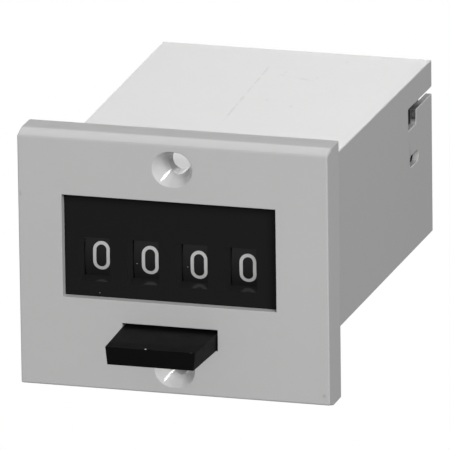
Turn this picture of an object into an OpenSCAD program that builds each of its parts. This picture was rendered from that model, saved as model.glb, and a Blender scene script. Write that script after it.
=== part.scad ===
/* [Bezel] */
// Front bezel width across the panel
bezel_w = 60; // [50:1:80]
// Front bezel height
bezel_h = 50; // [44:1:70]
// Bezel thickness in front of the panel
bezel_t = 8; // [6:0.5:12]
// Depth of the sloped top and bottom front edges
bevel_depth = 3; // [0:0.25:5]
// Height of the sloped top and bottom front edges
bevel_drop = 0.85; // [0:0.05:3]
// Distance between the two fixing screw holes
screw_spacing = 39; // [36:0.5:60]
// Clear bore of a fixing screw hole
screw_bore = 4.2; // [3:0.1:5.5]
// Height of the countersink at the front face
screw_head = 6.8; // [6:0.1:11]
// Extra width of the countersink at the front face
screw_wide = 1; // [0.1:0.1:2]
// Depth of the countersink
screw_deep = 4.1; // [1:0.1:4.5]

/* [Window] */
// Sideways offset of window, wheels and key from the bezel centre
feature_x = -0.85; // [-2:0.05:2]
// Window opening width
window_w = 41.4; // [36:0.2:46]
// Window opening height
window_h = 19.9; // [14:0.1:22]
// Height of the window centre above the bezel centre
window_z = 3.2; // [0:0.1:5]
// Depth of the black mask behind the front face
window_recess = 1.8; // [1:0.1:2.4]
// Width of each numeral opening in the mask
aperture_w = 6.1; // [5:0.1:6.4]
// Height of each numeral opening in the mask
aperture_h = 8.5; // [7:0.1:9]
// Height of the sill of the numeral openings
aperture_sill = -3.86; // [-4:0.02:-3.7]
// Depth of the numeral openings
aperture_d = 4; // [2:0.1:4]

/* [Case] */
// Case width at the panel
case_w = 51.2; // [51:0.2:54]
// Case height
case_h = 34.25; // [33.75:0.25:34.5]
// Widening of the left case wall towards the rear
flare_l = 1.7; // [0:0.1:2]
// Widening of the right case wall towards the rear
flare_r = 0.8; // [0:0.1:2]
// Case depth behind the panel
case_d = 82.4; // [80:0.2:110]
// Sideways offset of the case from the bezel centre
case_x = -1.15; // [-1.5:0.05:-0.8]
// Height of the case centre above the bezel centre
case_z = -0.125; // [-0.25:0.025:0.125]
// Case side wall thickness
case_wall = 1.3; // [1:0.1:1.6]
// Case top and bottom wall thickness
case_roof = 1.1; // [1:0.1:1.2]

/* [Number wheels] */
// Sideways offset of the set of number wheels
wheels_x = -1.69; // [-1.8:0.01:-1.5]
// Distance between neighbouring number wheels
wheel_pitch = 9.49; // [9.3:0.01:9.6]
// Number wheel radius
wheel_r = 11.5; // [10.5:0.1:11.6]
// Number wheel rim width
rim_w = 6.2; // [5.8:0.1:6.3]
// Gear tooth module of wheels and pinions
gear_module = 0.9; // [0.89:0.01:0.95]

/* [Reset key] */
// Key width
key_w = 18.2; // [12:0.2:20]
// Key thickness
key_t = 3.4; // [2.4:0.1:3.6]
// Key projection in front of the bezel
key_out = 12.9; // [6:0.1:18]
// Key travel
key_travel = 3.7; // [2:0.1:3.7]

/* [Coil] */
// Coil winding radius
winding_r = 8.8; // [6:0.1:9.2]
// Coil core radius
core_r = 3.5; // [2.5:0.1:4]

/* [Hidden] */
e = 0.01;
yf = -bezel_t;
mask_t = 1.3;
mask_y = yf + window_recess;
cav_y = mask_y + mask_t;
seat = 3;
cxl = case_x - case_w/2;
cxr = case_x + case_w/2;
czb = case_z - case_h/2;
czt = case_z + case_h/2;
ixl = cxl + case_wall;
ixr = cxr - case_wall;
izb = czb + case_roof;
izt = czt - case_roof;
case_l = case_d + seat;
wy = 9.6;
wz = -0.41;
axle_r = 1.25;
run = 0.05;
half = rim_w/2;
gear_t = 1.2;
kick_t = 0.9;
heart_t = 0.9;
gear_n = 20;
pin_n = 8;
gear_pr = gear_module*gear_n/2;
pin_pr = gear_module*pin_n/2;
pin_a = 54;
py = wy + (gear_pr + pin_pr)*cos(pin_a);
pz = wz + (gear_pr + pin_pr)*sin(pin_a);
pin_axle_r = 0.8;
plate_t = 1.2;
lpx = -21.8;
rpx = 19;
plate_y0 = cav_y;
plate_y1 = 70;
plate_top = izt - 0.15;
arm_y = 25.7;
arm_z = 13.2;
coil_z = 2.5;
coil_x = feature_x;
key_z = -13.4;
slider_z = izb + 1.05;
slider_t = 1.2;
hammer_y = 0.65;
stud_y = 22;
spring_z = -11;
lug_y = 50;
bridge_y = 65.5;
cover_y = 75.5;
cover_t = 2.5;
hook_y = 69.85;
hook_z = 0.85;
lead_z = -6.2;
light_grey = [0.84, 0.84, 0.83];
silver = [0.70, 0.70, 0.69];
black = [0.09, 0.09, 0.09];
steel = [0.62, 0.63, 0.65];
brass = [0.75, 0.60, 0.32];
copper = [0.70, 0.38, 0.20];
ivory = [0.86, 0.84, 0.78];

// Inner faces of the left and right case walls at depth y
function in_l(y) = ixl - flare_l*(y + seat)/case_l;
function in_r(y) = ixr + flare_r*(y + seat)/case_l;
function wx(k) = wheels_x + (k - 1.5)*wheel_pitch;

module blk(x0, x1, y0, y1, z0, z1) translate([x0, y0, z0]) cube([x1 - x0, y1 - y0, z1 - z0]);
module cyx(x0, x1, y, z, r, f = 48) translate([x0, y, z]) rotate([0, 90, 0]) cylinder(h = x1 - x0, r = r, $fn = f);
module cyy(y0, y1, x, z, r, f = 48) translate([x, y0, z]) rotate([-90, 0, 0]) cylinder(h = y1 - y0, r = r, $fn = f);
module cyz(z0, z1, x, y, r, f = 48) translate([x, y, z0]) cylinder(h = z1 - z0, r = r, $fn = f);
module alongx(x0, x1) translate([x0, 0, 0]) rotate([90, 0, 90]) linear_extrude(height = x1 - x0) children();

// Gear outline with a tooth centred on angle a0
module gear2d(n, m, add, ded, t_root, t_pitch, t_tip, a0) {
    rp = m*n/2;
    ro = rp + add;
    rr = rp - ded;
    st = 360/n;
    function ang(w, r) = w/2/r*180/PI;
    polygon([for (i = [0:n - 1]) for (q = [[rr, -ang(t_root, rr)], [rp, -ang(t_pitch, rp)], [ro, -ang(t_tip, ro)], [ro, ang(t_tip, ro)], [rp, ang(t_pitch, rp)], [rr, ang(t_root, rr)]]) let (a = a0 + i*st + q[1]) [q[0]*cos(a), q[0]*sin(a)]]);
}

// Heart outline, lowest point towards the front
module heart2d() {
    polygon([for (a = [-180:7.5:179]) let (r = 2.3 + 2.7*abs(a)/180) [-r*cos(a), r*sin(a)]]);
}

// Helical spring along Z from 0 to h
module helix(h, r, wire, turns) {
    span = min(150, 2*wire/(h/turns)*360/2);
    linear_extrude(height = h, twist = -360*turns, slices = turns*10, convexity = 6)
        polygon(concat(
            [for (i = [-3:3]) let (a = span*i/3, w = max(0.2, sqrt(1 - i*i/9))*wire) [(r + w)*cos(a), (r + w)*sin(a)]],
            [for (i = [3:-1:-3]) let (a = span*i/3, w = max(0.2, sqrt(1 - i*i/9))*wire) [(r - w)*cos(a), (r - w)*sin(a)]]));
}

// Cone that is wider than it is high and runs into the round bore
module countersink(z) {
    r1 = screw_head/2;
    r2 = (screw_bore - screw_wide)/2;
    deep = screw_deep*(r1 - r2)/(r1 - screw_bore/2);
    translate([0, 0, z]) {
        for (s = [-1, 1]) translate([s*screw_wide/2, yf, 0]) rotate([-90, 0, 0]) cylinder(h = deep, r1 = r1, r2 = r2, $fn = 64);
        alongx(-screw_wide/2, screw_wide/2) polygon([[yf, -r1], [yf, r1], [yf + deep, r2], [yf + deep, -r2]]);
    }
}

module front_bezel() color(silver) difference() {
    alongx(-bezel_w/2, bezel_w/2) polygon([[0, -bezel_h/2], [0, bezel_h/2], [yf + bevel_depth, bezel_h/2], [yf, bezel_h/2 - bevel_drop], [yf, -bezel_h/2 + bevel_drop], [yf + bevel_depth, -bezel_h/2]]);
    // window opening and mask seat
    blk(feature_x - window_w/2, feature_x + window_w/2, yf - 1, 1, window_z - window_h/2, window_z + window_h/2);
    blk(feature_x - 22.6, feature_x + 22.6, mask_y, 1, window_z - 12.1, izt);
    // inner cavity and seat of the case
    blk(ixl, ixr, cav_y, 1, izb, izt);
    blk(cxl - 0.12, cxr + 0.08, -seat, 1, czb - 0.03, czt + 0.03);
    // key slot
    blk(feature_x - key_w/2 - 0.15, feature_x + key_w/2 + 0.15, yf - 1, 0, key_z - key_t/2 - 0.15, key_z + key_t/2 + 0.6);
    for (s = [-1, 1]) {
        cyy(yf - 1, 1, 0, s*screw_spacing/2, screw_bore/2, 64);
        countersink(s*screw_spacing/2);
    }
}

module dial_mask() color(black) difference() {
    union() {
        blk(feature_x - 22.5, feature_x + 22.5, mask_y, mask_y + mask_t, window_z - 12, izt - 0.1);
        blk(wx(0) - aperture_w/2 - 1, wx(3) + aperture_w/2 + 1, mask_y + e, mask_y + aperture_d, aperture_sill - 1.2, aperture_sill + aperture_h + 1.2);
    }
    for (k = [0:3]) blk(wx(k) - aperture_w/2, wx(k) + aperture_w/2, mask_y - 1, cav_y + 6, aperture_sill, aperture_sill + aperture_h);
}

// Round-ended bar across X at the latch position
module oblong(x0, x1, reach, r) {
    for (s = [-1, 1]) cyx(x0, x1, hook_y + s*reach, hook_z, r, 32);
    blk(x0, x1, hook_y - reach, hook_y + reach, hook_z - r, hook_z + r);
}

// One clip slot and one latch hole through a side wall
module side_cuts(x0, x1) {
    blk(x0, x1, 66, case_d + 1, 10.3, 11.65);
    blk(x0, x1, 66, 71.4, 7.4, 11.65);
    oblong(x0, x1, 1.85, 1.1);
}

// Prism between two upright walls that spread towards the rear
module flared(x0, x1, z0, z1, past) {
    k = past/case_l;
    translate([0, 0, z0]) linear_extrude(height = z1 - z0)
        polygon([[x0 + flare_l*k, -seat - past], [x1 - flare_r*k, -seat - past], [x1 + flare_r*(1 + k), case_d + past], [x0 - flare_l*(1 + k), case_d + past]]);
}

module case_shell() color(light_grey) difference() {
    flared(cxl, cxr, czb, czt, 0);
    flared(ixl, ixr, izb, izt, 1);
    side_cuts(ixr - 1, cxr + flare_r + 1);
    side_cuts(cxl - flare_l - 1, ixl + 1);
}

module rear_cover() color(light_grey) {
    difference() {
        blk(in_l(cover_y) + 0.1, in_r(cover_y) - 0.1, cover_y, cover_y + cover_t, izb + 0.1, izt - 0.1);
        for (s = [-1, 1]) blk(coil_x + s*6 - 3.17, coil_x + s*6 + 3.17, cover_y - 1, cover_y + cover_t + 1, lead_z - 0.42, lead_z + 0.42);
    }
    for (s = [-1, 1]) {
        x = s > 0 ? in_r(64) - 0.1 : in_l(64) + 0.1;
        blk(min(x, x - s*1.2), max(x, x - s*1.2), 64, cover_y + e, -10, -2.5);
    }
    blk(lpx - plate_t, lpx, plate_y1, cover_y + e, -8, 8);
    blk(rpx, rpx + plate_t, plate_y1, cover_y + e, -8, 8);
}

module terminal_tabs() color(brass) for (s = [-1, 1]) difference() {
    blk(coil_x + s*6 - 3.15, coil_x + s*6 + 3.15, 72, 82, lead_z - 0.4, lead_z + 0.4);
    cyz(lead_z - 1, lead_z + 1, coil_x + s*6, 80, 0.9, 32);
}

module side_plate(x0) difference() {
    blk(x0, x0 + plate_t, plate_y0, plate_y1, izb, plate_top);
    cyx(x0 - 1, x0 + plate_t + 1, wy, wz, pin_axle_r + run, 32);
    cyx(x0 - 1, x0 + plate_t + 1, py, pz, pin_axle_r + run, 32);
    cyx(x0 - 1, x0 + plate_t + 1, arm_y, arm_z, pin_axle_r + run, 32);
    cyx(x0 - 1, x0 + plate_t + 1, -1.5, 12.9, 1.02, 32);
    cyx(x0 - 1, x0 + plate_t + 1, 60, -11, 1.02, 32);
    for (y = [10, 52]) blk(x0 - 1, x0 + plate_t + 1, y - 0.02, y + 6.02, izb - 1, izb + 1.02);
    blk(x0 - 1, x0 + plate_t + 1, bridge_y - 0.02, bridge_y + 1.52, -4.02, 4.02);
    // lightening window beside the coil
    blk(x0 - 1, x0 + plate_t + 1, 33, 56, -5, 9);
}

module left_side_plate() color(steel) side_plate(lpx - plate_t);

module right_side_plate() color(steel) {
    side_plate(rpx);
    difference() {
        cyx(wx(3) + half + gear_t + 0.3, rpx + e, wy, wz, 2.2, 32);
        cyx(0, rpx + 1, wy, wz, pin_axle_r + run, 32);
    }
}

module base_plate() color(steel) difference() {
    union() {
        blk(lpx, rpx, 0.5, bridge_y, izb, izb + 1);
        for (y = [10, 52]) blk(lpx - plate_t, rpx + plate_t, y, y + 6, izb, izb + 1);
        blk(feature_x - 4, feature_x + 4, lug_y, lug_y + 1.2, izb, -8);
    }
    for (s = [-1, 1]) cyz(izb - 1, izb + 2, feature_x + s*13, stud_y, 1.12, 32);
}

module rear_bridge() color(steel) difference() {
    union() {
        blk(lpx, rpx, bridge_y, bridge_y + 1.5, izb, plate_top);
        blk(lpx - plate_t, rpx + plate_t, bridge_y, bridge_y + 1.5, -4, 4);
    }
    for (s = [-1, 1]) {
        cyy(bridge_y - 1, bridge_y + 3, coil_x + s*5.5, 11, 1.35, 32);
        cyy(bridge_y - 1, bridge_y + 3, coil_x + s*6, lead_z, 1, 32);
    }
}

module tie_rods() color(steel) for (q = [[-1.5, 12.9], [60, -11]]) {
    cyx(lpx, rpx, q[0], q[1], 1.4, 32);
    cyx(lpx - plate_t - 0.4, rpx + plate_t + 0.4, q[0], q[1], 1, 32);
}

module wheel_axle() color(steel) {
    cyx(lpx - plate_t - 1, rpx + plate_t + 1, wy, wz, pin_axle_r, 32);
    cyx(wx(0) - half - kick_t - heart_t - 0.3, wx(3) + half + gear_t + 0.25, wy, wz, axle_r, 32);
    cyx(lpx, wx(0) - half - kick_t - heart_t - 0.04, wy, wz, 2.2, 32);
}

// Number wheel k with drive teeth on the right and carry teeth and heart on the left
module number_wheel(k) difference() {
    x = wx(k);
    union() {
        cyx(x - half, x + half, wy, wz, wheel_r, 96);
        translate([0, wy, wz]) alongx(x + half - e, x + half + gear_t)
            if (k < 3) gear2d(gear_n, gear_module, 0.65, 0.95, 1.3, 1.1, 0.55, 9);
            else gear2d(gear_n, 0.8, 0, 1, 1.6, 0.4, 0.4, 9);
        cyx(x + half, x + half + gear_t + 0.25, wy, wz, 2.4, 32);
        cyx(x - half - kick_t, x - half + e, wy, wz, 5.6, 48);
        if (k > 0) translate([0, wy, wz]) alongx(x - half - kick_t, x - half + e)
            for (a = [-9, 9]) rotate(pin_a + a) translate([5.2, -0.4]) square([2.9, 0.8]);
        translate([0, wy, wz]) alongx(x - half - kick_t - heart_t, x - half - kick_t + e) heart2d();
    }
    cyx(x - 8, x + 8, wy, wz, axle_r + run, 32);
}

module thousands_wheel() color(black) number_wheel(0);
module hundreds_wheel() color(black) number_wheel(1);
module tens_wheel() color(black) number_wheel(2);
module units_wheel() color(black) number_wheel(3);

module pinion_axle() color(steel) cyx(lpx - plate_t - 1, rpx + plate_t + 1, py, pz, pin_axle_r, 32);

module pinion(k) difference() {
    translate([0, py, pz]) alongx(wx(k) + half + 0.1, wx(k + 1) - half - 0.1)
        gear2d(pin_n, gear_module, 0.7, 0.9, 1.1, 1.0, 0.5, pin_a + 180);
    cyx(wx(k), wx(k + 1), py, pz, pin_axle_r + run, 32);
}

module thousands_pinion() color(ivory) pinion(0);
module hundreds_pinion() color(ivory) pinion(1);
module tens_pinion() color(ivory) pinion(2);

module axle_clips() color(steel) for (q = [[wy, wz], [py, pz]]) for (x = [lpx - plate_t - 0.55, rpx + plate_t + 0.05]) difference() {
    cyx(x, x + 0.5, q[0], q[1], 1.9, 32);
    cyx(x - 1, x + 1.5, q[0], q[1], pin_axle_r + 0.01, 32);
}

module coil_bobbin() color(ivory) difference() {
    union() {
        for (y = [29, 61.5]) blk(coil_x - 9.5, coil_x + 9.5, y, y + 1.5, coil_z - 9.5, coil_z + 9.5);
        cyy(30, 62, coil_x, coil_z, core_r + 1.1, 48);
    }
    cyy(28, 64, coil_x, coil_z, core_r + 0.05, 48);
}

module coil_winding() color(copper) difference() {
    cyy(30.5, 61.5, coil_x, coil_z, winding_r, 64);
    cyy(30, 62, coil_x, coil_z, core_r + 1.1, 48);
}

module coil_core() color(steel) {
    cyy(27.35, 63, coil_x, coil_z, core_r, 48);
    cyy(63 - e, bridge_y, coil_x, coil_z, 2.5, 48);
}

module magnet_yoke() color(steel) difference() {
    union() {
        blk(coil_x - 9, coil_x + 9, 63, bridge_y, -5, 14.6);
        blk(coil_x - 9, coil_x + 9, 28, bridge_y, 12.4, 14.6);
    }
    cyy(62, 66, coil_x, coil_z, 2.52, 48);
    for (s = [-1, 1]) cyy(62, 66, coil_x + s*5.5, 11, 1.27, 32);
}

module yoke_screws() color(steel) for (s = [-1, 1]) {
    cyy(63.2, bridge_y + 1.5 + e, coil_x + s*5.5, 11, 1.25, 32);
    difference() {
        cyy(bridge_y + 1.5, bridge_y + 2.9, coil_x + s*5.5, 11, 2.2, 32);
        blk(coil_x + s*5.5 - 3, coil_x + s*5.5 + 3, bridge_y + 2.3, bridge_y + 4, 10.75, 11.25);
    }
}

module armature() color(steel) difference() {
    x0 = wx(3) + half + 0.15;
    union() {
        blk(coil_x - 9, coil_x + 9, 25, 26.4, -7, 12.4);
        cyx(coil_x - 9, coil_x + 9, arm_y, arm_z, 1.8, 32);
        blk(coil_x + 8, x0 + 0.9, 25, 26.4, 4, 8.5);
        blk(x0, x0 + 0.9, 25, 26.4, wz - 6.9, 8.5);
        blk(x0, x0 + 0.9, wy + 6.15, 26, wz + 5.5, wz + 6.9);
        blk(x0, x0 + 0.9, wy + 6.15, 26, wz - 6.9, wz - 5.5);
    }
    cyx(coil_x - 12, coil_x + 12, arm_y, arm_z, pin_axle_r + run, 32);
}

module armature_pin() color(steel) cyx(lpx - plate_t - 0.5, rpx + plate_t + 0.5, arm_y, arm_z, pin_axle_r, 32);

module armature_spring() color(steel) translate([coil_x, 26.4, -5.2]) rotate([-90, 0, 0]) helix(2.6, 1.2, 0.2, 3);

module coil_leads() color(copper) for (s = [-1, 1]) cyy(63, 72, coil_x + s*6, lead_z, 0.4, 24);

module reset_key() color(black) {
    blk(feature_x - key_w/2, feature_x + key_w/2, yf, cav_y + 0.2, key_z - key_t/2, key_z + key_t/2);
    // finger end, drawn in a little towards its front and its underside
    hull() for (q = [[yf, 0, 0.12], [yf - key_out, 0.4, 0.76]]) {
        blk(feature_x - key_w/2 + q[1], feature_x + key_w/2 - q[1], q[0], q[0] + e, key_z + key_t/2 - e, key_z + key_t/2);
        blk(feature_x - key_w/2 + q[2], feature_x + key_w/2 - q[2], q[0], q[0] + e, key_z - key_t/2, key_z - key_t/2 + e);
    }
    blk(feature_x - key_w/2 - 1.5, feature_x + key_w/2 + 1.5, cav_y + 0.1, cav_y + 1.3, key_z - key_t/2 - 0.5, key_z + key_t/2 + 0.7);
}

module reset_slider() color(steel) difference() {
    union() {
        blk(wx(0) - half - kick_t - heart_t - 0.3, 17.5, cav_y + 1.3, 30, slider_z, slider_z + slider_t);
        blk(feature_x - 4, feature_x + 4, 29, 36, slider_z, slider_z + slider_t);
        blk(feature_x - 4, feature_x + 4, 34.8, 36, slider_z, -8.4);
        for (k = [0:3]) blk(wx(k) - half - kick_t - heart_t + 0.05, wx(k) - half - kick_t - 0.05, hammer_y - 1.2, hammer_y, slider_z + slider_t - e, 2);
    }
    for (s = [-1, 1]) translate([feature_x + s*13, 0, slider_z - 1]) {
        blk(-1.2, 1.2, stud_y - key_travel - 0.1, stud_y + 0.1, 0, 4);
        cyz(0, 4, 0, stud_y - key_travel - 0.1, 1.2, 32);
        cyz(0, 4, 0, stud_y + 0.1, 1.2, 32);
    }
}

module reset_spring() color(steel) translate([feature_x, 36, spring_z]) rotate([-90, 0, 0]) helix(14, 2, 0.3, 7);

module guide_studs() color(steel) for (s = [-1, 1]) {
    cyz(izb, slider_z + slider_t + 0.1 + e, feature_x + s*13, stud_y, 1.1, 32);
    cyz(slider_z + slider_t + 0.1, slider_z + slider_t + 0.9, feature_x + s*13, stud_y, 2.2, 32);
}

front_bezel();
dial_mask();
case_shell();
rear_cover();
terminal_tabs();
left_side_plate();
right_side_plate();
base_plate();
rear_bridge();
tie_rods();
wheel_axle();
thousands_wheel();
hundreds_wheel();
tens_wheel();
units_wheel();
pinion_axle();
thousands_pinion();
hundreds_pinion();
tens_pinion();
axle_clips();
coil_bobbin();
coil_winding();
coil_core();
magnet_yoke();
yoke_screws();
armature();
armature_pin();
armature_spring();
coil_leads();
reset_key();
reset_slider();
reset_spring();
guide_studs();
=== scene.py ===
"""Looks of the panel counter: finishes, numerals, springs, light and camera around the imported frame."""

import math
import random

import bmesh
import bpy
from mathutils import Matrix, Vector


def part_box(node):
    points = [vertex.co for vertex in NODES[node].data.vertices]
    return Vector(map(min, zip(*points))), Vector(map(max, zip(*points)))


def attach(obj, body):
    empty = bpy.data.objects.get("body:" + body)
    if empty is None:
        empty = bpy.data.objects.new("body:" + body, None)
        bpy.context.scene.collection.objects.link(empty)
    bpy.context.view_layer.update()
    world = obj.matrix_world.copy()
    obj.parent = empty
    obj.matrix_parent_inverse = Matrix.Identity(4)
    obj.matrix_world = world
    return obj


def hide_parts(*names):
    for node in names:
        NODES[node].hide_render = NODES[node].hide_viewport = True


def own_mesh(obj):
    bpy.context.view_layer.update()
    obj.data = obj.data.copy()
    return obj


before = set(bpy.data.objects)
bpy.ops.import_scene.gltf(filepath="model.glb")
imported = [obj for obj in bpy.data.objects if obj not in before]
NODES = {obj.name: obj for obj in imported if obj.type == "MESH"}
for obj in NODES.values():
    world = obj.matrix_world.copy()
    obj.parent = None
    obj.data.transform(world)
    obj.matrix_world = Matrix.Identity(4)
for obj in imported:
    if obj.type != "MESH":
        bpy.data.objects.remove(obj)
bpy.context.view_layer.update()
scene = bpy.context.scene
MM = 0.001
rng = random.Random(7)

# --- dimensions that the looks share with the frame, in millimetres -----------------------------------------
WHEEL_NAMES = ("thousands", "hundreds", "tens", "units")
WHEEL_Y, WHEEL_Z, WHEEL_R = 9.6, -0.41, 11.5
WHEEL_X = [-1.69 + (k - 1.5) * 9.49 for k in range(4)]

# ============================================================================================================
# node helpers
# ============================================================================================================


class Tree:
    """A small helper around one material's node tree."""

    def __init__(self, name):
        self.mat = bpy.data.materials.new(name)
        self.mat.use_nodes = True
        self.nt = self.mat.node_tree
        self.nt.nodes.clear()
        self.out = self.nt.nodes.new("ShaderNodeOutputMaterial")
        self.bsdf = self.nt.nodes.new("ShaderNodeBsdfPrincipled")
        self.nt.links.new(self.bsdf.outputs[0], self.out.inputs[0])
        self.coord = self.nt.nodes.new("ShaderNodeTexCoord")

    def new(self, kind, **props):
        n = self.nt.nodes.new(kind)
        for k, v in props.items():
            setattr(n, k, v)
        return n

    def link(self, a, b):
        self.nt.links.new(a, b)

    def mapped(self, scale=(1, 1, 1), rot=(0, 0, 0), loc=(0, 0, 0)):
        m = self.new("ShaderNodeMapping")
        m.inputs["Scale"].default_value = scale
        m.inputs["Rotation"].default_value = rot
        m.inputs["Location"].default_value = loc
        self.link(self.coord.outputs["Object"], m.inputs["Vector"])
        return m.outputs["Vector"]

    def noise(self, scale, detail=3.0, rough=0.5, vec=None, distortion=0.0):
        n = self.new("ShaderNodeTexNoise")
        n.inputs["Scale"].default_value = scale
        n.inputs["Detail"].default_value = detail
        n.inputs["Roughness"].default_value = rough
        n.inputs["Distortion"].default_value = distortion
        self.link(vec or self.coord.outputs["Object"], n.inputs["Vector"])
        return n.outputs["Fac"]

    def math(self, op, a, b=None, c=None, clamp=False):
        n = self.new("ShaderNodeMath", operation=op)
        n.use_clamp = clamp
        for i, v in enumerate((a, b, c)):
            if v is None:
                continue
            if isinstance(v, (int, float)):
                n.inputs[i].default_value = v
            else:
                self.link(v, n.inputs[i])
        return n.outputs[0]

    def remap(self, v, a, b, c, d, smooth=False):
        n = self.new("ShaderNodeMapRange")
        if smooth:
            n.interpolation_type = "SMOOTHSTEP"
        for i, x in enumerate((a, b, c, d)):
            n.inputs[i + 1].default_value = x
        self.link(v, n.inputs[0])
        return n.outputs[0]

    def mix(self, fac, a, b):
        n = self.new("ShaderNodeMix", data_type="RGBA")
        for s, v in ((n.inputs[0], fac), (n.inputs[6], a), (n.inputs[7], b)):
            if isinstance(v, (int, float)):
                s.default_value = v
            elif isinstance(v, (tuple, list)):
                s.default_value = (*v[:3], 1.0)
            else:
                self.link(v, s)
        return n.outputs[2]

    def bump(self, height, strength, distance, normal=None):
        n = self.new("ShaderNodeBump")
        n.inputs["Strength"].default_value = strength
        n.inputs["Distance"].default_value = distance
        self.link(height, n.inputs["Height"])
        if normal is not None:
            self.link(normal, n.inputs["Normal"])
        return n.outputs["Normal"]

    def xyz(self):
        n = self.new("ShaderNodeSeparateXYZ")
        self.link(self.coord.outputs["Object"], n.inputs[0])
        return n.outputs

    def set(self, **values):
        for k, v in values.items():
            self.bsdf.inputs[k.replace("_", " ")].default_value = v

    def to(self, socket, out):
        self.link(out, self.bsdf.inputs[socket])


def shade(c, k):
    return tuple(x * k for x in c)


# ============================================================================================================
# materials
# ============================================================================================================


def moulded(name, colour, rough, tone=0.03, grain=0.00001, grain_scale=7000, spec=0.5, dirt=0.0, cloud=55.0, vary=1.0):
    """Moulded plastic: a soft cloud in the tone, a fine moulded grain, and roughness that follows the grain."""
    t = Tree(name)
    cloud_f = t.noise(cloud, 4, 0.55)
    mott = t.noise(cloud * 9, 3, 0.6)
    fac = t.math("ADD", t.math("MULTIPLY", cloud_f, 0.65), t.math("MULTIPLY", mott, 0.35))
    fac = t.remap(fac, 0.3, 0.7, 0.0, 1.0)
    col = t.mix(fac, shade(colour, 1 - tone), shade(colour, 1 + tone))
    if dirt:
        spots = t.remap(t.noise(900, 2, 0.5), 0.70, 0.78, 0.0, dirt, True)
        col = t.mix(spots, col, shade(colour, 0.72))
    t.to("Base Color", col)
    fine = t.noise(grain_scale, 2, 0.6)
    broad = t.noise(grain_scale / 14, 2, 0.5)
    r = t.math("ADD", t.remap(fine, 0.3, 0.7, rough - 0.05 * vary, rough + 0.05 * vary), t.remap(broad, 0.3, 0.7, -0.025 * vary, 0.025 * vary), clamp=True)
    t.to("Roughness", r)
    n = t.bump(broad, 0.35, grain * 3.0)
    t.to("Normal", t.bump(fine, 0.6, grain, n))
    t.set(Specular_IOR_Level=spec)
    return t


def metal(name, colour, rough, along=(1, 0.03, 1), scratch=2600.0, tone=0.06):
    """Rolled or drawn metal: fine drawing lines along one axis, cloudy tone."""
    t = Tree(name)
    vec = t.mapped(scale=along)
    lines = t.noise(scratch, 4, 0.65, vec)
    cloud_f = t.noise(140, 3, 0.5)
    fac = t.math("ADD", t.math("MULTIPLY", lines, 0.6), t.math("MULTIPLY", cloud_f, 0.4))
    t.to("Base Color", t.mix(t.remap(fac, 0.3, 0.7, 0, 1), shade(colour, 1 - tone), shade(colour, 1 + tone)))
    t.to("Roughness", t.remap(lines, 0.25, 0.75, rough - 0.08, rough + 0.08))
    t.to("Normal", t.bump(lines, 0.25, 0.000012))
    t.set(Metallic=1.0)
    return t


BEZEL_COL = (0.480, 0.480, 0.478)
# painted light: the sloped strips' brighter tone stands in for the light they catch
SLOPE_PAINTED_LIGHT_COL = (0.535, 0.535, 0.533)
# painted light: the countersinks' lighter tone stands in for the bright light and reflection they catch
SINK_PAINTED_LIGHT_COL = (0.640, 0.640, 0.638)
CASE_COL = (0.500, 0.500, 0.498)
MASK_COL = (0.0126, 0.0126, 0.0127)
# painted light: the pocket walls and sills are painted lighter than the mask face, against the shade inside the
# openings
POCKET_PAINTED_LIGHT_COL = (0.0250, 0.0250, 0.0252)
SILL_PAINTED_LIGHT_COL = (0.0215, 0.0215, 0.0216)
WHEEL_COL = (0.0122, 0.0122, 0.0122)

bezel_t = moulded("bezel_grey_moulded", BEZEL_COL, 0.60, tone=0.018, grain=0.000005, grain_scale=5200, spec=0.20)
bx, by, bz = bezel_t.xyz()[:3]
hole_z = bezel_t.math("SUBTRACT", bezel_t.math("ABSOLUTE", bz), 0.0195)
hole_d = bezel_t.math("SQRT", bezel_t.math("ADD", bezel_t.math("MULTIPLY", bx, bx), bezel_t.math("MULTIPLY", hole_z, hole_z)))
in_sink = bezel_t.math("MULTIPLY", bezel_t.remap(hole_d, 0.00408, 0.00414, 1.0, 0.0), bezel_t.remap(by, -0.00796, -0.0079, 0.0, 1.0))
bezel_base = bezel_t.bsdf.inputs["Base Color"].links[0].from_socket
# the sloped strips along the top and bottom are smoother than the face, and painted a little brighter as painted light
# for the extra light the slopes catch
in_slope = bezel_t.math("MULTIPLY", bezel_t.remap(bezel_t.math("ABSOLUTE", bz), 0.02416, 0.02422, 0.0, 1.0), bezel_t.remap(by, -0.0053, -0.0049, 1.0, 0.0))
bezel_base = bezel_t.mix(in_slope, bezel_base, SLOPE_PAINTED_LIGHT_COL)
# painted light: the countersinks are painted lighter than the face
bezel_base = bezel_t.mix(in_sink, bezel_base, SINK_PAINTED_LIGHT_COL)


def smudge(t, x0, z0, rx, rz, depth):
    """0..depth in an uneven spot on the bezel's front; the middle and the radii in millimetres."""
    dx = t.math("MULTIPLY", t.math("SUBTRACT", bx, x0 * 0.001), 1000.0 / rx)
    dz = t.math("MULTIPLY", t.math("SUBTRACT", bz, z0 * 0.001), 1000.0 / rz)
    d = t.math("SQRT", t.math("ADD", t.math("MULTIPLY", dx, dx), t.math("MULTIPLY", dz, dz)))
    d = t.math("ADD", d, t.remap(t.noise(2600, 2, 0.6), 0.3, 0.7, -0.3, 0.3))
    return t.remap(d, 0.45, 1.05, depth, 0.0, True)


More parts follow.
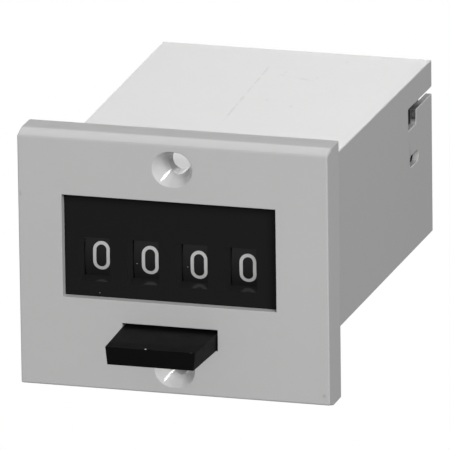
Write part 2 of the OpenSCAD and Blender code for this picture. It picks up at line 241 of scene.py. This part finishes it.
# two small handling marks on the front
spots = bezel_t.math("ADD", smudge(bezel_t, 28.95, -22.4, 0.40, 0.45, 0.62), smudge(bezel_t, -29.5, 12.9, 0.22, 0.75, 0.45), clamp=True)
spots = bezel_t.math("MULTIPLY", spots, bezel_t.remap(by, -0.0079, -0.0076, 1.0, 0.0))
bezel_t.to("Base Color", bezel_t.mix(spots, bezel_base, shade(BEZEL_COL, 0.66)))
bezel_rough = bezel_t.bsdf.inputs["Roughness"].links[0].from_socket
bezel_t.to("Roughness", bezel_t.math("MULTIPLY", bezel_t.math("MULTIPLY", bezel_rough, bezel_t.remap(in_slope, 0.0, 1.0, 1.0, 0.6)), bezel_t.remap(in_sink, 0.0, 1.0, 1.0, 0.27)))
bezel_m = bezel_t.mat

# the case is smoother, with a faint rubbed line and a few faint spots on its top
case_t = moulded("case_grey_moulded", CASE_COL, 0.30, tone=0.010, grain=0.0000004, grain_scale=5200, spec=0.50, vary=0.35)
cx, cy, cz = case_t.xyz()[:3]


def rubbed_line(t, x0, y0, x1, y1, width, breaks):
    """0..1 along a thin broken line on the case top, from (x0, y0) to (x1, y1) in millimetres."""
    ux, uy = x1 - x0, y1 - y0
    ln = math.hypot(ux, uy)
    ux, uy = ux / ln, uy / ln
    px = t.math("SUBTRACT", t.math("MULTIPLY", cx, 1000.0), x0)
    pyy = t.math("SUBTRACT", t.math("MULTIPLY", cy, 1000.0), y0)
    s = t.math("ADD", t.math("MULTIPLY", px, ux), t.math("MULTIPLY", pyy, uy))
    d = t.math("ABSOLUTE", t.math("SUBTRACT", t.math("MULTIPLY", px, uy), t.math("MULTIPLY", pyy, ux)))
    near = t.remap(d, 0.0, width, 1.0, 0.0, True)
    inside = t.math("MULTIPLY", t.remap(s, -0.6, 0.6, 0, 1, True), t.remap(s, ln - 0.6, ln + 0.6, 1, 0, True))
    worn = t.remap(t.noise(breaks, 2, 0.6), 0.42, 0.58, 0.15, 1.0, True)
    return t.math("MULTIPLY", t.math("MULTIPLY", near, inside), worn)


case_base = case_t.bsdf.inputs["Base Color"].links[0].from_socket
top_only = case_t.remap(cz, 0.0166, 0.01672, 0.0, 1.0)
marks = case_t.math("ADD", rubbed_line(case_t, -2.1, 33.3, -3.75, 70.6, 0.40, 330.0), rubbed_line(case_t, 0.0, 65.7, 7.0, 63.1, 0.5, 260.0))
for sx, sy, sr in ((7.7, 45.6, 0.55), (2.1, 48.6, 0.50), (7.3, 65.2, 0.50), (0.4, 67.7, 0.45), (10.0, 76.8, 0.50)):
    fx = case_t.math("SUBTRACT", case_t.math("MULTIPLY", cx, 1000.0), sx)
    fy = case_t.math("MULTIPLY", case_t.math("SUBTRACT", case_t.math("MULTIPLY", cy, 1000.0), sy), 0.5)
    away = case_t.math("SQRT", case_t.math("ADD", case_t.math("MULTIPLY", fx, fx), case_t.math("MULTIPLY", fy, fy)))
    marks = case_t.math("ADD", marks, case_t.remap(away, 0.2 * sr, sr, 0.55, 0.0, True))
marks = case_t.math("MULTIPLY", case_t.math("MULTIPLY", marks, top_only), 0.66, clamp=True)
case_base = case_t.mix(marks, case_base, shade(CASE_COL, 0.72))
# the cut edges of the bent slot are rougher and painted dark as painted shade, darkest in its hook and lighter towards
# the rear
case_n = case_t.new("ShaderNodeSeparateXYZ")
case_t.link(case_t.coord.outputs["Normal"], case_n.inputs[0])
cut = case_t.remap(case_t.math("ABSOLUTE", case_n.outputs[0]), 0.3, 0.6, 1.0, 0.0)
cut = case_t.math("MULTIPLY", cut, case_t.math("MULTIPLY", case_t.remap(cy, 0.0658, 0.0660, 0.0, 1.0), case_t.remap(cy, 0.0820, 0.0823, 1.0, 0.0)))
cut = case_t.math("MULTIPLY", cut, case_t.math("MULTIPLY", case_t.remap(cz, 0.0073, 0.0084, 0.0, 1.0), case_t.remap(cz, 0.0117, 0.0119, 1.0, 0.0)))
slot_painted_shade = case_t.mix(case_t.remap(case_t.noise(1500, 3, 0.6), 0.35, 0.65, 0.0, 1.0), (0.040, 0.040, 0.040), (0.160, 0.160, 0.158))
slot_painted_shade = case_t.mix(case_t.remap(cy, 0.0718, 0.0785, 0.0, 1.0, True), slot_painted_shade, (0.40, 0.40, 0.398))
case_t.to("Base Color", case_t.mix(cut, case_base, slot_painted_shade))
case_rough = case_t.bsdf.inputs["Roughness"].links[0].from_socket
case_t.to("Roughness", case_t.math("ADD", case_rough, case_t.math("MULTIPLY", cut, 0.5), clamp=True))
case_m = case_t.mat

cover_m = moulded("cover_grey_moulded", shade(CASE_COL, 0.92), 0.46, tone=0.02, grain=0.000008, spec=0.42).mat
mask_t = moulded("mask_black_moulded", MASK_COL, 0.34, tone=0.05, grain=0.0000002, grain_scale=4200, spec=0.5, vary=0.4)
mask_y, mask_z = mask_t.xyz()[1:3]
# the numeral openings are smoother than the face, and their walls and sills are painted a little lighter as painted
# light that evens out the shade inside them
in_pocket = mask_t.remap(mask_y, -0.00615, -0.0058, 0.0, 1.0, True)
mask_base = mask_t.bsdf.inputs["Base Color"].links[0].from_socket
at_sill = mask_t.remap(mask_z, -0.00378, -0.00366, 1.0, 0.0, True)
mask_t.to("Base Color", mask_t.mix(in_pocket, mask_base, mask_t.mix(at_sill, POCKET_PAINTED_LIGHT_COL, SILL_PAINTED_LIGHT_COL)))
mask_rough = mask_t.bsdf.inputs["Roughness"].links[0].from_socket
mask_t.to("Roughness", mask_t.math("MULTIPLY", mask_rough, mask_t.remap(in_pocket, 0.0, 1.0, 1.0, 0.20)))
mask_t.set(IOR=1.08)
mask_m = mask_t.mat
key_m = moulded("key_black_moulded", (0.0031, 0.0031, 0.0032), 0.55, tone=0.14, grain=0.000008, grain_scale=4600, spec=0.07).mat
wheel_m = moulded("wheel_black_moulded", WHEEL_COL, 0.55, tone=0.06, grain=0.000004, spec=0.18).mat
paint_m = moulded("numeral_white_paint", (0.51, 0.51, 0.503), 0.50, tone=0.06, grain=0.000004, grain_scale=6500, spec=0.30, cloud=420).mat
ivory_m = moulded("ivory_natural_plastic", (0.66, 0.61, 0.49), 0.42, tone=0.04, grain=0.000006).mat
steel_m = metal("steel_rolled", (0.56, 0.57, 0.58), 0.34, along=(1, 0.03, 1)).mat
rod_m = metal("steel_drawn", (0.60, 0.60, 0.61), 0.26, along=(0.03, 1, 1)).mat
# painted shade: the side plates are made near black so the inside seen through the mask's gaps stays dark
side_plate_shade_m = metal("steel_dark_painted_shade", (0.016, 0.016, 0.017), 0.52, along=(1, 0.03, 1)).mat
wire_m = metal("spring_wire", (0.50, 0.51, 0.53), 0.30, along=(1, 1, 1), scratch=5200).mat
brass_m = metal("terminal_brass", (0.70, 0.52, 0.25), 0.30, along=(1, 0.03, 1), tone=0.08).mat

# the winding: lacquered wire laid in turns side by side
wind_t = metal("copper_winding", (0.55, 0.20, 0.08), 0.28, along=(1, 1, 1), scratch=900, tone=0.10)
wave = wind_t.new("ShaderNodeTexWave", wave_type="BANDS", bands_direction="Y", wave_profile="SIN")
wave.inputs["Scale"].default_value = 2 * math.pi / 0.00032 / 20
wind_t.link(wind_t.coord.outputs["Object"], wave.inputs["Vector"])
wind_t.to("Normal", wind_t.bump(wave.outputs["Fac"], 0.8, 0.00008))
wind_t.set(Coat_Weight=0.5, Coat_Roughness=0.12)
wind_m = wind_t.mat

# sleeved lead wires
lead_m = moulded("lead_sleeve_red", (0.42, 0.03, 0.02), 0.40, tone=0.08, grain=0.000004).mat
dust_m = moulded("dust_speck", (0.55, 0.55, 0.54), 0.9, tone=0.15, grain=0.00001, grain_scale=9000, spec=0.1).mat

FINISH = {
    "front_bezel": bezel_m, "case_shell": case_m, "rear_cover": cover_m, "dial_mask": mask_m, "reset_key": key_m,
    "terminal_tabs": brass_m, "left_side_plate": side_plate_shade_m, "right_side_plate": side_plate_shade_m, "base_plate": steel_m,
    "rear_bridge": steel_m, "tie_rods": rod_m, "wheel_axle": rod_m, "pinion_axle": rod_m, "axle_clips": steel_m,
    "thousands_pinion": ivory_m, "hundreds_pinion": ivory_m, "tens_pinion": ivory_m,
    "coil_bobbin": ivory_m, "coil_winding": wind_m, "coil_core": rod_m, "magnet_yoke": steel_m, "yoke_screws": rod_m,
    "armature": steel_m, "armature_pin": rod_m, "armature_spring": wire_m, "coil_leads": lead_m,
    "reset_slider": steel_m, "reset_spring": wire_m, "guide_studs": rod_m,
    "thousands_wheel": wheel_m, "hundreds_wheel": wheel_m, "tens_wheel": wheel_m, "units_wheel": wheel_m,
}
for n, o in NODES.items():
    o.data.materials.clear()
    o.data.materials.append(FINISH[n])

# ============================================================================================================
# edges: every moulded or pressed edge is a little rounded
# ============================================================================================================


def clean_group():
    """Joins the split corners of an imported solid and shades it smooth, before its edges are rounded."""
    g = bpy.data.node_groups.new("join_corners", "GeometryNodeTree")
    g.interface.new_socket("Geometry", in_out="INPUT", socket_type="NodeSocketGeometry")
    g.interface.new_socket("Geometry", in_out="OUTPUT", socket_type="NodeSocketGeometry")
    gi, go = g.nodes.new("NodeGroupInput"), g.nodes.new("NodeGroupOutput")
    sn = g.nodes.new("GeometryNodeSetMeshNormal")
    sn.mode = "SHARPNESS"
    for s in sn.inputs:
        if s.name.startswith("Remove"):
            s.default_value = True
    mg = g.nodes.new("GeometryNodeMergeByDistance")
    mg.inputs["Distance"].default_value = 2e-6
    sm = g.nodes.new("GeometryNodeSetShadeSmooth")
    g.links.new(gi.outputs[0], sn.inputs[0])
    g.links.new(sn.outputs[0], mg.inputs[0])
    g.links.new(mg.outputs[0], sm.inputs[0])
    g.links.new(sm.outputs[0], go.inputs[0])
    return g


JOIN = clean_group()


def outline_group(half_w, half_h):
    """Marks the edges that lie on the outline of a plate, so that they can be rounded more than the others."""
    g = bpy.data.node_groups.new("mark_outline", "GeometryNodeTree")
    g.interface.new_socket("Geometry", in_out="INPUT", socket_type="NodeSocketGeometry")
    g.interface.new_socket("Geometry", in_out="OUTPUT", socket_type="NodeSocketGeometry")
    gi, go = g.nodes.new("NodeGroupInput"), g.nodes.new("NodeGroupOutput")
    pos, sep = g.nodes.new("GeometryNodeInputPosition"), g.nodes.new("ShaderNodeSeparateXYZ")
    g.links.new(pos.outputs[0], sep.inputs[0])

    def beyond(axis, limit):
        a, b = g.nodes.new("ShaderNodeMath"), g.nodes.new("ShaderNodeMath")
        a.operation, b.operation = "ABSOLUTE", "GREATER_THAN"
        b.inputs[1].default_value = limit
        g.links.new(sep.outputs[axis], a.inputs[0])
        g.links.new(a.outputs[0], b.inputs[0])
        return b.outputs[0]

    either = g.nodes.new("ShaderNodeMath")
    either.operation = "MAXIMUM"
    g.links.new(beyond(0, half_w), either.inputs[0])
    g.links.new(beyond(2, half_h), either.inputs[1])
    turn, sharp, both = g.nodes.new("GeometryNodeInputMeshEdgeAngle"), g.nodes.new("ShaderNodeMath"), g.nodes.new("ShaderNodeMath")
    sharp.operation, both.operation = "GREATER_THAN", "MULTIPLY"
    sharp.inputs[1].default_value = math.radians(30.0)
    g.links.new(turn.outputs[0], sharp.inputs[0])
    g.links.new(either.outputs[0], both.inputs[0])
    g.links.new(sharp.outputs[0], both.inputs[1])
    st = g.nodes.new("GeometryNodeStoreNamedAttribute")
    st.data_type, st.domain = "FLOAT", "EDGE"
    st.inputs["Name"].default_value = "bevel_weight_edge"
    g.links.new(gi.outputs[0], st.inputs["Geometry"])
    g.links.new(both.outputs[0], st.inputs["Value"])
    # the shallow edge of the sloped strips stays a crease
    crease, not_sharp, shallow = g.nodes.new("ShaderNodeMath"), g.nodes.new("ShaderNodeMath"), g.nodes.new("ShaderNodeMath")
    crease.operation, not_sharp.operation, shallow.operation = "GREATER_THAN", "LESS_THAN", "MULTIPLY"
    crease.inputs[1].default_value = math.radians(10.0)
    not_sharp.inputs[1].default_value = math.radians(30.0)
    for q in (crease, not_sharp):
        g.links.new(turn.outputs[0], q.inputs[0])
    g.links.new(crease.outputs[0], shallow.inputs[0])
    g.links.new(not_sharp.outputs[0], shallow.inputs[1])
    flat = g.nodes.new("GeometryNodeSetShadeSmooth")
    flat.domain = "EDGE"
    flat.inputs["Shade Smooth"].default_value = False
    g.links.new(st.outputs[0], flat.inputs["Geometry"])
    g.links.new(shallow.outputs[0], flat.inputs["Selection"])
    g.links.new(flat.outputs[0], go.inputs[0])
    return g


def soften(node, width, segments=3, angle=30.0, outline=None):
    o = NODES[node]
    m = o.modifiers.new("join", "NODES")
    m.node_group = JOIN
    if outline:
        half_w, half_h, round_w = outline
        mk = o.modifiers.new("outline", "NODES")
        mk.node_group = outline_group(half_w * MM, half_h * MM)
        ob = o.modifiers.new("outline_edges", "BEVEL")
        ob.width = round_w * MM
        ob.segments = 4
        ob.limit_method = "WEIGHT"
        ob.miter_outer = "MITER_SHARP"
        ob.use_clamp_overlap = True
        ob.loop_slide = False
        ob.face_strength_mode = "FSTR_ALL"
    b = o.modifiers.new("edges", "BEVEL")
    b.width = width * MM
    b.segments = segments
    b.limit_method = "ANGLE"
    b.angle_limit = math.radians(angle)
    b.miter_outer = "MITER_SHARP"
    b.use_clamp_overlap = True
    b.loop_slide = False
    b.face_strength_mode = "FSTR_ALL"
    w = o.modifiers.new("shade", "WEIGHTED_NORMAL")
    w.mode = "FACE_AREA"
    w.weight = 80
    w.keep_sharp = outline is not None
    w.use_face_influence = True


for node, width in {
    "case_shell": 0.22, "rear_cover": 0.18, "dial_mask": 0.10, "reset_key": 0.22,
    "terminal_tabs": 0.10, "left_side_plate": 0.08, "right_side_plate": 0.08, "base_plate": 0.08, "rear_bridge": 0.08,
    "tie_rods": 0.10, "wheel_axle": 0.10, "pinion_axle": 0.10, "armature_pin": 0.10, "axle_clips": 0.06,
    "coil_bobbin": 0.15, "coil_core": 0.12, "magnet_yoke": 0.12, "yoke_screws": 0.08, "armature": 0.06,
    "reset_slider": 0.08, "guide_studs": 0.08, "coil_leads": 0.05,
    "thousands_wheel": 0.08, "hundreds_wheel": 0.08, "tens_wheel": 0.08, "units_wheel": 0.08,
    "thousands_pinion": 0.05, "hundreds_pinion": 0.05, "tens_pinion": 0.05, "coil_winding": 0.15,
}.items():
    soften(node, width)
soften("front_bezel", 0.20, outline=(29.9, 23.9, 0.30))

# ============================================================================================================
# numerals: painted strokes that lie on the wheel rims
# ============================================================================================================

NUM_W, NUM_H, STROKE = 3.24, 5.55, 0.63
NUM_X = 0.14
NUM_UP = (0.27, 0.02, -0.22, -0.12)  # the wheels stop slightly out of line with each other
LIFT, THICK = -0.02, 0.05


def arc(cx_, cy_, r, a0, a1, step=12.0):
    n = max(2, int(abs(a1 - a0) / step) + 1)
    return [(cx_ + r * math.cos(math.radians(a0 + (a1 - a0) * i / n)), cy_ + r * math.sin(math.radians(a0 + (a1 - a0) * i / n))) for i in range(n + 1)]


def numeral_paths(d):
    """Centre lines of a numeral's strokes, (u, v) in millimetres from its middle, and whether each closes."""
    w, h = (NUM_W - STROKE) / 2, (NUM_H - STROKE) / 2
    r = w
    if d == 0:
        return [(arc(0, h - r, r, 0, 180) + arc(0, -h + r, r, 180, 360), True)]
    if d == 1:
        return [([(-0.75, h - 0.85), (0.15, h), (0.15, -h)], False)]
    if d == 2:
        return [(arc(0, h - r, r, 170, -30) + [(-w, -h), (w, -h)], False)]
    if d == 3:
        q = h / 2
        return [(arc(0, h - q, q * 1.0, 160, -90) , False), (arc(0, -h + q * 1.02, q * 1.02, 90, -160), False)]
    if d == 4:
        return [([(0.62, -h), (0.62, h), (-w, -h * 0.36), (w + 0.2, -h * 0.36)], False)]
    if d == 5:
        return [([(w, h), (-w + 0.1, h), (-w, 0.35)] + arc(0, -h + r * 1.16, r * 1.16, 128, -150), False)]
    if d == 6:
        return [(arc(0, -h + r, r, 90, 450), True), ([(w * 0.72, h), (0.0, h * 0.62), (-w * 0.78, 0.2), (-w, -h + r)], False)]
    if d == 7:
        return [([(-w, h), (w, h), (-0.45, -h)], False)]
    if d == 8:
        q = (h - 0.12) / 2
        return [(arc(0, h - q, q * 0.98, -90, 270), True), (arc(0, -h + q * 1.12, q * 1.12, 90, 450), True)]
    return [(arc(0, h - r, r, -90, 270), True), ([(-w * 0.72, -h), (0.0, -h * 0.62), (w * 0.78, -0.2), (w, h - r)], False)]


def resample(pts, closed, step=0.28):
    out = []
    n = len(pts)
    for i in range(n if closed else n - 1):
        a, b = Vector(pts[i]), Vector(pts[(i + 1) % n])
        k = max(1, int((b - a).length / step))
        for j in range(k):
            out.append(a.lerp(b, j / k))
    if not closed:
        out.append(Vector(pts[-1]))
    keep = []
    for p in out:
        if not keep or (p - keep[-1]).length > 1e-4:
            keep.append(p)
    if closed and (keep[0] - keep[-1]).length < 1e-4:
        keep.pop()
    return keep


def ribbon(bm, pts, closed, width, low, high, place):
    """A closed flat ribbon along pts; place(u, v, t) puts a point of it in space."""
    p = resample(pts, closed)
    n = len(p)
    rings = []
    for i in range(n):
        if closed:
            a, b = p[i - 1], p[(i + 1) % n]
        else:
            a, b = p[max(0, i - 1)], p[min(n - 1, i + 1)]
        prev = (p[i] - p[i - 1]).normalized() if (closed or i > 0) else (p[1] - p[0]).normalized()
        nxt = (p[(i + 1) % n] - p[i]).normalized() if (closed or i < n - 1) else prev
        tan = (prev + nxt)
        tan = tan.normalized() if tan.length > 1e-6 else nxt
        nor = Vector((-tan.y, tan.x))
        k = 1.0 / max(0.55, nor.dot(Vector((-nxt.y, nxt.x))))
        off = nor * (width / 2 * k)
        rings.append([bm.verts.new(place(*(p[i] + off), high)), bm.verts.new(place(*(p[i] - off), high)),
                      bm.verts.new(place(*(p[i] - off), low)), bm.verts.new(place(*(p[i] + off), low))])
    for i in range(n if closed else n - 1):
        a, b = rings[i], rings[(i + 1) % n]
        for j in range(4):
            bm.faces.new((a[j], a[(j + 1) % 4], b[(j + 1) % 4], b[j]))
    if not closed:
        bm.faces.new(rings[0][::-1])
        bm.faces.new(rings[-1])


def mesh_object(name, bm, material, smooth=True):
    bmesh.ops.recalc_face_normals(bm, faces=bm.faces)
    me = bpy.data.meshes.new(name)
    bm.to_mesh(me)
    bm.free()
    me.materials.append(material)
    for f in me.polygons:
        f.use_smooth = smooth
    o = bpy.data.objects.new(name, me)
    scene.collection.objects.link(o)
    return o


for k, wheel in enumerate(WHEEL_NAMES):
    bm = bmesh.new()
    for d in range(10):
        middle = math.radians(36.0 * d)

        def place(u, v, t, middle=middle, k=k):
            a = middle + (v + NUM_UP[k]) / WHEEL_R
            r = WHEEL_R + t
            return Vector((WHEEL_X[k] + u + NUM_X, WHEEL_Y - r * math.cos(a), WHEEL_Z + r * math.sin(a))) * MM

        for i, (pts, closed) in enumerate(numeral_paths(d)):
            ribbon(bm, pts, closed, STROKE, LIFT, LIFT + THICK + 0.006 * i, place)
    o = mesh_object(wheel + "_numerals", bm, paint_m, smooth=False)
    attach(o, wheel)

# ============================================================================================================
# springs: round wire with closed end turns
# ============================================================================================================


def spring(name, x, z, y0, y1, radius, wire, turns, dead, body, node, sides=10, per_turn=28):
    """A compression spring along Y between y0 and y1, its end turns closed up."""
    bm = bmesh.new()
    total = turns + 2 * dead
    n = int(total * per_turn)
    lo_y, hi_y = y0 + wire, y1 - wire
    lead_end = 2 * wire * 1.02
    pts = []
    for i in range(n + 1):
        t = total * i / n
        if t < dead:
            y = lo_y + lead_end * t
        elif t > total - dead:
            y = hi_y - lead_end * (total - t)
        else:
            y = lo_y + lead_end * dead + (hi_y - lo_y - 2 * lead_end * dead) * (t - dead) / turns
        a = 2 * math.pi * t
        pts.append(Vector((x + radius * math.cos(a), y, z + radius * math.sin(a))))
    rings = []
    for i, p in enumerate(pts):
        tan = (pts[min(n, i + 1)] - pts[max(0, i - 1)]).normalized()
        out = Vector((p.x - x, 0, p.z - z)).normalized()
        side = tan.cross(out).normalized()
        out = side.cross(tan).normalized()
        rings.append([bm.verts.new((p + (out * math.cos(2 * math.pi * j / sides) + side * math.sin(2 * math.pi * j / sides)) * wire) * MM) for j in range(sides)])
    for a, b in zip(rings, rings[1:]):
        for j in range(sides):
            bm.faces.new((a[j], a[(j + 1) % sides], b[(j + 1) % sides], b[j]))
    bm.faces.new(rings[0][::-1])
    bm.faces.new(rings[-1])
    o = mesh_object(name, bm, wire_m)
    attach(o, body)
    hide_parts(node)
    return o


ks = spring("key_return_coil", -0.85, -11.0, 36.0, 50.0, 2.0, 0.3, 6.0, 1.0, "housing", "reset_spring")
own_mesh(ks)
lo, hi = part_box("armature_spring")
asp = spring("armature_return_coil", -0.85, -5.2, lo.y * 1000, hi.y * 1000, 1.2, 0.18, 2.6, 0.6, "housing", "armature_spring")
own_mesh(asp)

# ============================================================================================================
# dust: a few grains, as the object carries them
# ============================================================================================================


def grain(name, at, size, body, slot_name, normal):
    """An uneven flat crumb that lies on a surface; at in millimetres."""
    bm = bmesh.new()
    bmesh.ops.create_icosphere(bm, subdivisions=2, radius=1.0)
    nrm = Vector(normal).normalized()
    rot = nrm.to_track_quat("Z", "Y").to_matrix()
    for v in bm.verts:
        s = size * (0.78 + 0.44 * rng.random())
        q = Vector((v.co.x * s, v.co.y * s * 0.8, v.co.z * s * 0.45))
        v.co = (Vector(at) + rot @ q) * MM
    o = mesh_object(name, bm, dust_m)
    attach(o, body)


grain("key_dust_1", (-1.8, -20.67, -11.66), 0.18, "reset", "key_black", (0, -0.5, 1))
grain("key_dust_2", (7.0, -20.76, -11.70), 0.06, "reset", "key_black", (0, -0.5, 1))
grain("mask_dust", (-14.9, -6.22, -6.05), 0.07, "housing", "mask_black", (0, -1, 0))
grain("wheel_dust_1", (-8.85, -1.88, -1.18), 0.09, "hundreds", "wheel_black", (0, -1, 0))
grain("wheel_dust_2", (1.0, -1.88, -1.13), 0.08, "tens", "wheel_black", (0, -1, 0))


# ============================================================================================================
# camera
# ============================================================================================================

AZ, EL, ROLL = math.radians(16.4075), math.radians(16.9203), math.radians(-0.7626)
back = Vector((math.sin(AZ) * math.cos(EL), -math.cos(AZ) * math.cos(EL), math.sin(EL)))
right = Vector((math.cos(AZ), math.sin(AZ), 0))
up = Vector((-math.sin(AZ) * math.sin(EL), math.cos(AZ) * math.sin(EL), math.cos(EL)))
cam_x = right * math.cos(ROLL) + up * math.sin(ROLL)
cam_y = up * math.cos(ROLL) - right * math.sin(ROLL)
cam = bpy.data.cameras.new("camera")
cam.sensor_width = 36.0
cam.lens = 5.36970 * 2307.9 * 36.0 / 450.0
cam.clip_start, cam.clip_end = 0.05, 60.0
cam_o = bpy.data.objects.new("camera", cam)
loc = Vector((0.0077929, 0, 0.0069918)) + back * 2.3079
cam_o.matrix_world = Matrix(((cam_x.x, cam_y.x, back.x, loc.x), (cam_x.y, cam_y.y, back.y, loc.y), (cam_x.z, cam_y.z, back.z, loc.z), (0, 0, 0, 1)))
scene.collection.objects.link(cam_o)
scene.camera = cam_o

# ============================================================================================================
# floor, world and lights
# ============================================================================================================

bm = bmesh.new()
bmesh.ops.create_grid(bm, x_segments=2, y_segments=2, size=12.0)
for v in bm.verts:
    v.co.z = -0.14
floor_t = Tree("floor_white")
floor_t.set(Base_Color=(0.0, 0.0, 0.0, 1.0), Roughness=1.0, Specular_IOR_Level=0.0, Emission_Color=(1.0, 1.0, 1.0, 1.0), Emission_Strength=1.0)
floor = mesh_object("floor", bm, floor_t.mat, smooth=False)
for ray in ("diffuse", "glossy", "transmission", "shadow", "volume_scatter"):
    setattr(floor, "visible_" + ray, False)

world = bpy.data.worlds.new("studio")
scene.world = world
world.use_nodes = True
wn = world.node_tree
wn.nodes.clear()
w_out = wn.nodes.new("ShaderNodeOutputWorld")
w_mix = wn.nodes.new("ShaderNodeMixShader")
w_path = wn.nodes.new("ShaderNodeLightPath")
w_seen, w_fill = wn.nodes.new("ShaderNodeBackground"), wn.nodes.new("ShaderNodeBackground")
w_seen.inputs[0].default_value = (1, 1, 1, 1)
w_fill.inputs[0].default_value = (1, 1, 1, 1)
w_fill.inputs[1].default_value = 0.207
wn.links.new(w_path.outputs["Is Camera Ray"], w_mix.inputs[0])
wn.links.new(w_fill.outputs[0], w_mix.inputs[1])
wn.links.new(w_seen.outputs[0], w_mix.inputs[2])
wn.links.new(w_mix.outputs[0], w_out.inputs[0])


# the studio light is so even that the push key casts no shadow on the bezel, and the mask none on the wheels
no_block = bpy.data.collections.new("casts_no_shadow")
for k, piece in enumerate(("reset_key", "dial_mask")):
    no_block.objects.link(NODES[piece])
    no_block.collection_objects[k].light_linking.link_state = "EXCLUDE"


def area(name, at, aim, size, watts, size_y=None, diffuse=True, glossy=True, shadow=True):
    d = bpy.data.lights.new(name, "AREA")
    d.energy = watts
    d.size = size
    if size_y:
        d.shape = "RECTANGLE"
        d.size_y = size_y
    o = bpy.data.objects.new(name, d)
    o.location = at
    o.rotation_mode = "QUATERNION"
    o.rotation_quaternion = (Vector(aim) - Vector(at)).to_track_quat("-Z", "Y")
    o.visible_camera = False
    o.visible_diffuse = diffuse
    o.visible_glossy = glossy
    d.use_shadow = shadow
    o.light_linking.blocker_collection = no_block
    scene.collection.objects.link(o)
    return o


area("light_top", (0.0, 0.0, 1.0), (0, 0.03, 0), 0.9, 0.3)
area("light_front", (0.0, -1.15, 0.35), (0, 0, 0), 1.0, 4.63)
area("light_front_low", (0.0, -1.0, -0.40), (0, 0, 0), 0.8, 0.8, glossy=False)
area("light_right", (1.1, 0.05, 0.25), (0, 0.03, 0), 0.9, 1.14)
area("light_left", (-1.1, 0.0, 0.30), (0, 0.03, 0), 0.9, 1.5)
area("light_rear", (0.10, 1.20, 0.20), (0, 0.05, 0), 0.9, 1)
area("light_back", (-0.25, 1.15, 0.38), (0, 0.05, 0), 0.9, 5.05, diffuse=False)
area("light_top_rear", (-0.30, 0.69, 0.80), (0, 0.03, 0), 0.6, 3.54, diffuse=False)
area("light_key", (0.64, -0.70, 0.58), (0, 0, 0), 0.45, 8, glossy=False)
area("light_accent", (0.83, 0.926, 1.296), (0, -0.006, 0.0), 0.11, 3.9, diffuse=False, shadow=False)

scene.view_settings.view_transform = "Standard"
scene.view_settings.look = "None"
scene.view_settings.exposure = 0.0
scene.view_settings.gamma = 1.0
